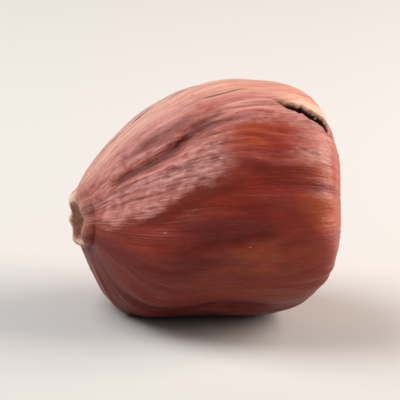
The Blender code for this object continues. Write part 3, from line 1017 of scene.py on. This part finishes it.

# Dusty skin and the dark spots in it, and the painted light on the lit side of the keel
# Painted light: the pale lit side of the keel, with a sharp border along its line
LIT_BLOOM_SIDE = 16.0
LIT_BLOOM_RAGS_BY_KEEL = 2.4
LIT_BLOOM_SPECKS_BY_KEEL = 0.8
LIT_BLOOM_BY_KEEL = (-0.36, 0.30, 1.0, 0.0)
LIT_BLOOM_RAGS_ALONG = 0.14
LIT_BLOOM_ALONG = (0.46, 0.62)
LIT_BLOOM_ROUND = (-0.15, 0.30)
DUST_MOST = 0.85
DUST_LEAST = 0.08
DUST_ON_RIBS = (-0.6, 0.5, 0.3, 1.0)
DUST_ON_WRINKLES = (-0.10, 0.06, 0.50, 1.0)
DUST_ON_SPECKS = (0.32, 0.66, 0.60, 1.0)
DUST_ON_FIBRES = (0.30, 0.60, 0.6, 1.0)
SPOT_RISE = (0.54, 0.64)
SPOT_IN_DUST = (0.1, 0.4)
SPOT_STRENGTH = 0.55

# Pale skin on top, partly painted light, and the painted shade along the cores of the furrows
PALE_AND_LIT_FIBRES = (0.34, 0.62, 0.40, 1.0)
PALE_AND_LIT_STRENGTH = 0.9
BARE_SPECKS = (0.45, 0.62, 0.1, 0.6)
BARE_FIBRES = (0.36, 0.62, 0.25, 0.85)
LIT_RIDGE_FIBRES = (0.32, 0.60, 0.14, 0.36)
FURROW_SHADE_BLOTCHES = 1.5
FURROW_SHADE_SPECKS = 0.8
FURROW_SHADE_RISE = (0.28, 0.62, 0.0, 0.92)

# Lip, the painted shade of the crack, and scar
LIP_SPECKS = 0.4
LIP_FIBRES = (0.34, 0.60, 0.40, 1.0)
LIP_TAN_RISE = (0.02, 0.40, 0.0, 0.85)
LIP_CREAM_RISE = (0.25, 0.80, 0.0, 0.45)
CRACK_SHADE_RISE = (0.12, 0.50)
TORN_RAGS = 2.6
TORN_RISE = (0.60, 1.20, 0.0, 0.55)
SCAR_RAGS = 1.2
SCAR_RISE = (0.15, 0.60)
SPONGY_RISE = (0.38, 0.62)

# Tip: the tan collar, the cream rim and the pit. The collar and the rim show only on the lit side away
# from the camera, partly as a painted highlight, and the side towards the camera is left in painted
# shade
SHADED_TIP_SIDE = 75.0
SHADED_TIP_UNEVENNESS = 1.2
SHADED_TIP_RISE = (-0.1, 0.7, 1.0, 0.1)
COLLAR_FIBRES = 0.05
COLLAR_RISE = (0.945, 0.975, 0.0, 0.55)
RIM_UNEVENNESS = 0.035
RIM_FIBRES = 0.015
RIM_RISE = (0.970, 0.980)
PIT_UNEVENNESS = (2.4, -0.2)
PIT_FIBRES = (1.6, 0.2)
PIT_TAN_RISE = (0.12, 0.40)
PIT_RISE = (0.22, 0.62)

# Roughness and bump
BARE_DULLNESS = 0.25
FIBRE_DULLNESS = 0.18
DUST_DULLNESS = 0.18
PALE_DULLNESS = 0.25
PORE_DEPTH = 0.15
SPECK_DEPTH = 0.35
SKIN_BUMP = 0.00008
SCRAP_BUMP = 0.00002
SCRAP_RISE = (0.35, 0.65)
FLOOR_SHADE = 0.97

# What the layers of the skin share: the tree, the colours, where each point lies, and four noises
Skin = namedtuple("Skin", "tree paint girth share place streaks fine speck blotch")


def colour(values):
    """Red, green and blue as the four numbers that a socket takes."""
    return (*values, 1.0)


def mix_colours(tree, share, first, second):
    """Mixes two colours, each a socket or three numbers."""
    values = {MIX_SHARE: share}
    for socket, tint in ((MIX_FIRST, first), (MIX_SECOND, second)):
        values[socket] = tint if isinstance(tint, bpy.types.NodeSocket) else colour(tint)
    return add_node(tree, "ShaderNodeMix", values, data_type="RGBA").outputs[MIX_RESULT]


def painted(tree, tint, over, value, *rise):
    """tint, with another colour laid over it where a value is high."""
    return mix_colours(tree, ramp(tree, value, *rise), tint, over)


def new_material(name, roughness, sheen=0.0):
    """A material with its shader. Values that are the same all over sit on the shader itself."""
    material = bpy.data.materials.new(name)
    material.use_nodes = True
    tree = material.node_tree
    shader = tree.nodes["Principled BSDF"]
    shader.inputs["Roughness"].default_value = roughness
    shader.inputs["Specular IOR Level"].default_value = SPECULAR
    shader.inputs["Sheen Weight"].default_value = sheen
    shader.inputs["Sheen Roughness"].default_value = SHEEN_ROUGHNESS
    shader.inputs["Sheen Tint"].default_value = colour(SHEEN_TINT)
    return material, tree, shader


def attribute(tree, name, output="Fac"):
    """A value kept for each point, read in a material."""
    return add_node(tree, "ShaderNodeAttribute", attribute_name=name).outputs[output]


def bump(tree, shader, height, depth):
    """Links a pattern to the shader as fine bumps of a depth in metres."""
    made = add_node(tree, "ShaderNodeBump", {"Strength": 1.0, "Distance": depth, "Height": height})
    tree.links.new(made.outputs[0], shader.inputs["Normal"])


def streaked(skin):
    """Brown skin with plum stains, dark streaks and places where it is thin and amber, with painted
    shade on the underside and in the creases.
    """
    tree, paint = skin.tree, skin.paint
    broad = noise_value(tree, skin.girth, *BROAD_STAINS)
    tint = painted(tree, paint.skin, paint.plum, broad, *PLUM_RISE)
    tint = painted(tree, tint, paint.dark_and_shade, skin.streaks, *STREAK_RISE)
    thin = patches(tree, skin.girth, skin.share, AMBER_PATCHES)
    thin = held_back(tree, thin, skin.streaks, *AMBER_OFF_STREAKS)
    thin = most(tree, thin, ramp(tree, skin.fine, *AMBER_FIBRES))
    tint = mix_colours(tree, times(tree, thin, AMBER_STRENGTH), tint, paint.amber)
    # Painted shade: the underside is darkened with the dark colour
    low = patches(tree, skin.girth, skin.share, UNDERSIDE_SHADE_PATCHES)
    tint = mix_colours(tree, times(tree, low, UNDERSIDE_SHADE_STRENGTH), tint, paint.dark_and_shade)
    # Painted shade: the creases between the ribs are darkened
    return painted(tree, tint, paint.dark_and_shade, attribute(tree, "rib"), *CREASE_SHADE_RISE)


def lit_bloom(skin):
    """Painted light with some dust: the pale lit side of the keel, with a ragged border along the keel's
    line.
    """
    tree = skin.tree
    ragged = noise_value(tree, skin.girth, *LIT_BLOOM_RAGS)
    line = shifted(tree, attribute(tree, "keel"), ragged, LIT_BLOOM_RAGS_BY_KEEL)
    line = shifted(tree, line, skin.speck, LIT_BLOOM_SPECKS_BY_KEEL)
    along = shifted(tree, skin.share, ragged, LIT_BLOOM_RAGS_ALONG)
    dust_and_light = held_back(tree, ramp(tree, line, *LIT_BLOOM_BY_KEEL), along, *LIT_BLOOM_ALONG)
    return held_back(tree, dust_and_light, facing(tree, skin.girth, LIT_BLOOM_SIDE), *LIT_BLOOM_ROUND)


def dust_and_light_share(skin):
    """How much dusty scurf and painted light show: most on the ridges and small bumps of the dry places,
    and on the lit side of the keel.
    """
    tree = skin.tree
    dust_and_light = most(tree, patches(tree, skin.girth, skin.share, SCURF_PATCHES), lit_bloom(skin))
    dust_and_light = times_plus(tree, dust_and_light, DUST_MOST, DUST_LEAST)
    dust_and_light = held_back(tree, dust_and_light, attribute(tree, "rib"), *DUST_ON_RIBS)
    dust_and_light = held_back(tree, dust_and_light, attribute(tree, "wrinkle"), *DUST_ON_WRINKLES)
    dust_and_light = held_back(tree, dust_and_light, skin.speck, *DUST_ON_SPECKS)
    return held_back(tree, dust_and_light, skin.fine, *DUST_ON_FIBRES)


def with_dust_and_light(skin, tint, dust_and_light):
    """Dusty skin and painted light over the brown, with dark spots in it."""
    tree = skin.tree
    tint = mix_colours(tree, dust_and_light, tint, skin.paint.scurf_and_light)
    spots = held_back(tree, ramp(tree, skin.blotch, *SPOT_RISE), dust_and_light, *SPOT_IN_DUST)
    return mix_colours(tree, times(tree, spots, SPOT_STRENGTH), tint, skin.paint.dark_and_shade)


def with_pale_and_lit_top(skin, tint):
    """The pale dry skin on the top, with bare places round the lip and a creamy ridge. The pale skin and
    the ridge are partly painted light along the lit upper outline.
    """
    tree, paint, girth, share, fine = skin.tree, skin.paint, skin.girth, skin.share, skin.fine
    # Partly painted light: the pale top is lighter where the light grazes it
    pale = held_back(tree, patches(tree, girth, share, PALE_AND_LIT_PATCHES), fine, *PALE_AND_LIT_FIBRES)
    tint = mix_colours(tree, times(tree, pale, PALE_AND_LIT_STRENGTH), tint, paint.scurf_and_light)
    bare = held_back(tree, pale, skin.speck, *BARE_SPECKS)
    bare = most(tree, bare, patches(tree, girth, share, BARE_PATCHES))
    tint = mix_colours(tree, held_back(tree, bare, fine, *BARE_FIBRES), tint, paint.tan)
    # Partly painted highlight: the creamy ridge along the upper outline
    lit_ridge = held_back(tree, patches(tree, girth, share, LIT_RIDGE_PATCHES), fine, *LIT_RIDGE_FIBRES)
    return mix_colours(tree, lit_ridge, tint, paint.cream_and_highlight)


def with_furrow_shade(skin, tint):
    """Painted shade: dark broken lines along the middle of the furrows."""
    # Painted shade along the furrows, from the stored furrow mask
    shade_core = shifted(skin.tree, attribute(skin.tree, "furrow_shade"), skin.blotch, FURROW_SHADE_BLOTCHES)
    shade_core = shifted(skin.tree, shade_core, skin.speck, FURROW_SHADE_SPECKS)
    return painted(skin.tree, tint, skin.paint.dark_and_shade, shade_core, *FURROW_SHADE_RISE)


def with_lip_and_crack(skin, tint):
    """The lip, tan and then cream towards its edge, and the painted shade of the crack under it."""
    tree, paint = skin.tree, skin.paint
    lip = shifted(tree, attribute(tree, "lip"), skin.speck, LIP_SPECKS)
    lip = held_back(tree, lip, skin.fine, *LIP_FIBRES)
    tint = painted(tree, tint, paint.tan, lip, *LIP_TAN_RISE)
    tint = painted(tree, tint, paint.cream_and_highlight, lip, *LIP_CREAM_RISE)
    # Painted shade: near black in the crack's gap and along the tear
    return painted(tree, tint, paint.crack, attribute(tree, "crack"), *CRACK_SHADE_RISE)


def with_scar(skin, tint):
    """The spongy scar at the base in its torn tan rim."""
    tree, paint = skin.tree, skin.paint
    ragged = noise_value(tree, skin.place, *TORN_RIM)
    torn = shifted(tree, attribute(tree, "scar_rim"), ragged, TORN_RAGS)
    tint = painted(tree, tint, paint.tan, torn, *TORN_RISE)
    spongy = noise_value(tree, skin.place, *SPONGY_SCAR)
    face = painted(tree, paint.pit, paint.scar, spongy, *SPONGY_RISE)
    inside = shifted(tree, attribute(tree, "scar"), ragged, SCAR_RAGS)
    return painted(tree, tint, face, inside, *SCAR_RISE)


def with_tip(skin, tint):
    """The tan collar before the tip, its cream rim, partly a painted highlight on the lit side away from
    the camera, and the brown pit.
    """
    tree, paint, share, fine = skin.tree, skin.paint, skin.share, skin.fine
    uneven = noise_value(tree, skin.girth, *TIP_WEAR)
    # Painted light and shade: the collar and the cream rim are kept off the side towards the camera
    near = shifted(tree, facing(tree, skin.girth, SHADED_TIP_SIDE), uneven, SHADED_TIP_UNEVENNESS)
    left = ramp(tree, near, *SHADED_TIP_RISE)
    collar = held_back(tree, left, shifted(tree, share, fine, COLLAR_FIBRES), *COLLAR_RISE)
    tint = mix_colours(tree, collar, tint, paint.tan)
    edge = shifted(tree, shifted(tree, share, uneven, RIM_UNEVENNESS), fine, RIM_FIBRES)
    tint = mix_colours(tree, held_back(tree, left, edge, *RIM_RISE), tint, paint.cream_and_highlight)
    pit = times(tree, times_plus(tree, uneven, *PIT_UNEVENNESS), attribute(tree, "pit"))
    tint = painted(tree, tint, paint.tan, pit, *PIT_TAN_RISE)
    pit = times(tree, pit, times_plus(tree, fine, *PIT_FIBRES))
    return painted(tree, tint, paint.pit, pit, *PIT_RISE)


def dullness(skin, dust_and_light):
    """Roughness: satin where the skin is bare, duller in the dust, and most on the scar and the lip."""
    tree = skin.tree
    dull = times_plus(tree, skin.fine, FIBRE_DULLNESS, BARE_DULLNESS)
    dull = times_plus(tree, dust_and_light, DUST_DULLNESS, dull)
    pale = most(tree, attribute(tree, "scar"), attribute(tree, "lip"))
    return times_plus(tree, pale, PALE_DULLNESS, dull)


def brown_skin(paint):
    """Streaked reddish brown skin with a satin sheen, dusty ridges and pale torn edges, with painted
    light and shade laid into its colour.
    """
    material, tree, shader = new_material("brown_skin", roughness=0.45, sheen=0.03)
    girth = attribute(tree, "girth", "Vector")
    share = add_node(tree, "ShaderNodeSeparateXYZ", {0: girth}).outputs["Z"]
    place = add_node(tree, "ShaderNodeTexCoord").outputs["Object"]
    noises = [noise_value(tree, girth, *each) for each in (STREAKS, FINE_STREAKS, SPECKS, BLOTCHES)]
    skin = Skin(tree, paint, girth, share, place, *noises)
    dust_and_light = dust_and_light_share(skin)
    tint = with_dust_and_light(skin, streaked(skin), dust_and_light)
    for layer in (with_pale_and_lit_top, with_furrow_shade, with_lip_and_crack, with_scar, with_tip):
        tint = layer(skin, tint)
    tree.links.new(tint, shader.inputs["Base Color"])
    tree.links.new(dullness(skin, dust_and_light), shader.inputs["Roughness"])
    height = times_plus(tree, noise_value(tree, place, *PORES), PORE_DEPTH, skin.fine)
    bump(tree, shader, times_plus(tree, skin.speck, SPECK_DEPTH, height), SKIN_BUMP)
    return material


def scrap_skin(name, pale, deep):
    """Papery scraps, paler where the light comes through."""
    material, tree, shader = new_material(name, roughness=0.62, sheen=0.1)
    place = add_node(tree, "ShaderNodeTexCoord").outputs["Object"]
    tint = painted(tree, deep, pale, noise_value(tree, place, *SCRAP_BLOTCHES), *SCRAP_RISE)
    tree.links.new(tint, shader.inputs["Base Color"])
    bump(tree, shader, noise_value(tree, place, *SCRAP_GRAIN), SCRAP_BUMP)
    return material


def pale_floor(tint):
    """Plain matt floor with a faint unevenness."""
    material, tree, shader = new_material("pale_floor", roughness=0.85)
    place = add_node(tree, "ShaderNodeTexCoord").outputs["Object"]
    shade = tuple(FLOOR_SHADE * part for part in tint)
    uneven = noise_value(tree, place, *FLOOR_SHADES)
    tree.links.new(mix_colours(tree, uneven, tint, shade), shader.inputs["Base Color"])
    return material


# Pieces


def new_piece(name, data):
    """An object for a mesh, a lamp or a camera, at the origin."""
    piece = bpy.data.objects.new(name, data)
    bpy.context.scene.collection.objects.link(piece)
    return piece


def on_body(piece):
    """The piece moves with the kernel's body."""
    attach(piece, BODY)


def store(mesh, name, values):
    """Stores one number, or three, for each point."""
    kind = "FLOAT_VECTOR" if values.ndim == 2 else "FLOAT"
    field = "vector" if values.ndim == 2 else "value"
    made = mesh.attributes.new(name, kind, "POINT")
    made.data.foreach_set(field, values.astype(np.float32).ravel())


def kernel_mesh(rows, sides):
    """The kernel with its form and its masks, before the fine relief."""
    grid, girths, masks = kernel_rows(rows, sides)
    points = with_poles(grid)
    pit = sink_tip_pit(points)
    points = lay_down(points)
    mesh = bpy.data.meshes.new("kernel_skin")
    mesh.from_pydata(points.tolist(), [], kernel_faces(rows, sides))
    girth = with_poles(girths)
    girth[-2:, :2] = 0.0
    store(mesh, "girth", girth)
    store(mesh, "pit", pit)
    for name, values in masks.items():
        store(mesh, name, with_poles(values)[:, 0])
    store(mesh, "lip_edge", smooth_step(*LIP_EDGE, with_poles(masks["lip"])[:, 0]))
    flank = between(FLANK_ENDS, FLANK_FADES, girth[:, 2])
    store(mesh, "flank", flank * smooth_step(*FLANK_OVER_FLOOR, points[:, 2]))
    mesh.validate()
    mesh.shade_smooth()
    return mesh


def seat_on_floor(obj):
    """Brings the finished kernel back into the solid's box after its relief."""
    count = len(obj.data.vertices)
    points = np.zeros(count * 3, np.float32)
    obj.data.vertices.foreach_get("co", points)
    points = fit_to_solid(points.reshape(-1, 3).astype(float), 0.0)
    obj.data.vertices.foreach_set("co", points.astype(np.float32).ravel())
    obj.data.update()


class HAZELNUT_OT_kernel(bpy.types.Operator):
    """Makes the kernel in its brown skin"""

    bl_idname = "hazelnut.kernel"
    bl_label = "Kernel"

    def execute(self, context):
        sizes = context.scene.hazelnut_relief
        kernel = new_piece("kernel_skin", kernel_mesh(sizes.rows, sizes.sides))
        values = {
            "Fibres": sizes.fibres,
            "Wrinkles": sizes.wrinkles,
            "Grain": sizes.grain,
            "Seed": float(sizes.seed),
            "Skin": brown_skin(context.scene.hazelnut_colours),
        }
        apply_tree(kernel, relief_tree(), values)
        seat_on_floor(kernel)
        on_body(kernel)
        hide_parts(NODE)
        return {"FINISHED"}


class HAZELNUT_OT_scraps(bpy.types.Operator):
    """Makes the scraps of torn skin, the scar's fibres and the loose flakes"""

    bl_idname = "hazelnut.scraps"
    bl_label = "Scraps of skin"

    def execute(self, context):
        paint = context.scene.hazelnut_colours
        finishes = {
            "scar_shreds": scrap_skin("scar_shred", paint.tan, paint.scar),
            "scar_fibres": scrap_skin("scar_fibre", paint.scar, paint.pit),
            "tip_fibres": scrap_skin("tip_fibre", paint.scar, paint.pit),
            "skin_flakes": scrap_skin("flaking_skin", paint.scurf_and_light, paint.skin),
            "lip_shreds": scrap_skin("torn_skin", paint.cream_and_highlight, paint.tan),
        }
        tree = scraps_tree()
        for name, *given in SCRAPS:
            values = dict(zip(SCRAP_INPUTS, given))
            values["Skin"] = finishes[name]
            piece = new_piece(name, bpy.data.objects["kernel_skin"].data.copy())
            apply_tree(piece, tree, values)
            on_body(piece)
        return {"FINISHED"}


def aim(obj, place, target):
    """Puts a camera or light at place, looking at target."""
    obj.location = place
    obj.rotation_mode = "QUATERNION"
    obj.rotation_quaternion = (Vector(place) - Vector(target)).to_track_quat("Z", "Y")


def direction(azimuth, elevation):
    """From the nut to a camera or light."""
    level = math.cos(elevation)
    return Vector((math.sin(azimuth) * level, -math.cos(azimuth) * level, math.sin(elevation)))


# Lamps: azimuth and elevation in degrees, distance, size, colour
LAMPS = {
    "key": (244.0, 50.0, 0.16, 0.13, (1.0, 0.96, 0.93)),
    "rim": (92.0, 26.0, 0.16, 0.13, (1.0, 0.87, 0.76)),
    "fill": (-30.0, 30.0, 0.22, 0.16, (1.0, 1.0, 1.0)),
}
SKY_COLOUR = (0.93, 0.95, 1.0)
FLOOR_SIDES = 96


def add_lamp(name, power, target):
    """A square soft lamp that looks at the nut."""
    azimuth, elevation, distance, size, tint = LAMPS[name]
    lamp = bpy.data.lights.new(name, "AREA")
    lamp.size = size
    lamp.energy = power
    lamp.color = tint
    toward = direction(math.radians(azimuth), math.radians(elevation))
    aim(new_piece(name, lamp), target + toward * distance, target)


def add_floor(size, tint):
    """A wide round floor that isn't part of the object."""
    bpy.ops.mesh.primitive_circle_add(vertices=FLOOR_SIDES, radius=size, fill_type="NGON")
    floor = bpy.context.object
    floor.name = "floor"
    floor.data.materials.append(pale_floor(tint))
    floor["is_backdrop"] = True


def add_sky(strength):
    """An even pale sky that lights the scene from all round."""
    world = bpy.data.worlds.new("studio")
    world.use_nodes = True
    background = world.node_tree.nodes["Background"]
    background.inputs["Color"].default_value = colour(SKY_COLOUR)
    background.inputs["Strength"].default_value = strength
    bpy.context.scene.world = world


def add_camera(sizes, target):
    """A long lens that looks at the nut, turned a little to show it at its slant."""
    camera = new_piece("camera", bpy.data.cameras.new("camera"))
    camera.data.lens = camera.data.sensor_width * sizes.distance / sizes.frame_width
    aim(camera, target + direction(sizes.azimuth, sizes.elevation) * sizes.distance, target)
    camera.rotation_quaternion @= Quaternion((0.0, 0.0, 1.0), sizes.roll)
    bpy.context.scene.camera = camera


class HAZELNUT_OT_stage(bpy.types.Operator):
    """Makes the floor, the lights and the camera"""

    bl_idname = "hazelnut.stage"
    bl_label = "Stage"

    def execute(self, context):
        sizes = context.scene.hazelnut_stage
        low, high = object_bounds()
        middle = (Vector(low) + Vector(high)) / 2.0
        add_floor(sizes.floor_size, sizes.floor)
        add_lamp("key", sizes.key_power, middle)
        add_lamp("rim", sizes.rim_power, middle)
        add_lamp("fill", sizes.fill_power, middle)
        add_sky(sizes.sky)
        add_camera(sizes, middle)
        context.scene.view_settings.view_transform = "Standard"
        return {"FINISHED"}


class HAZELNUT_PT_panel(bpy.types.Panel):
    """Sizes, colours and steps of the hazelnut kernel"""

    bl_idname = "HAZELNUT_PT_panel"
    bl_label = "Hazelnut Kernel"
    bl_space_type = "VIEW_3D"
    bl_region_type = "UI"
    bl_category = "Hazelnut"

    def draw(self, context):
        scene = context.scene
        for group in (scene.hazelnut_relief, scene.hazelnut_colours, scene.hazelnut_stage):
            box = self.layout.box()
            for name in group.__annotations__:
                box.prop(group, name)
        for operator in (HAZELNUT_OT_kernel, HAZELNUT_OT_scraps, HAZELNUT_OT_stage):
            self.layout.operator(operator.bl_idname)


CLASSES = (
    HAZELNUT_PG_relief,
    HAZELNUT_PG_colours,
    HAZELNUT_PG_stage,
    HAZELNUT_OT_kernel,
    HAZELNUT_OT_scraps,
    HAZELNUT_OT_stage,
    HAZELNUT_PT_panel,
)


def register():
    """Adds the properties, the steps and the panel."""
    for each in CLASSES:
        bpy.utils.register_class(each)
    bpy.types.Scene.hazelnut_relief = bpy.props.PointerProperty(type=HAZELNUT_PG_relief)
    bpy.types.Scene.hazelnut_colours = bpy.props.PointerProperty(type=HAZELNUT_PG_colours)
    bpy.types.Scene.hazelnut_stage = bpy.props.PointerProperty(type=HAZELNUT_PG_stage)


def unregister():
    """Takes them out again."""
    del bpy.types.Scene.hazelnut_stage
    del bpy.types.Scene.hazelnut_colours
    del bpy.types.Scene.hazelnut_relief
    for each in reversed(CLASSES):
        bpy.utils.unregister_class(each)


def main():
    """Runs the steps in order."""
    register()
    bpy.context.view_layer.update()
    bpy.ops.hazelnut.kernel()
    bpy.ops.hazelnut.scraps()
    bpy.ops.hazelnut.stage()


if __name__ == "__main__":
    main()
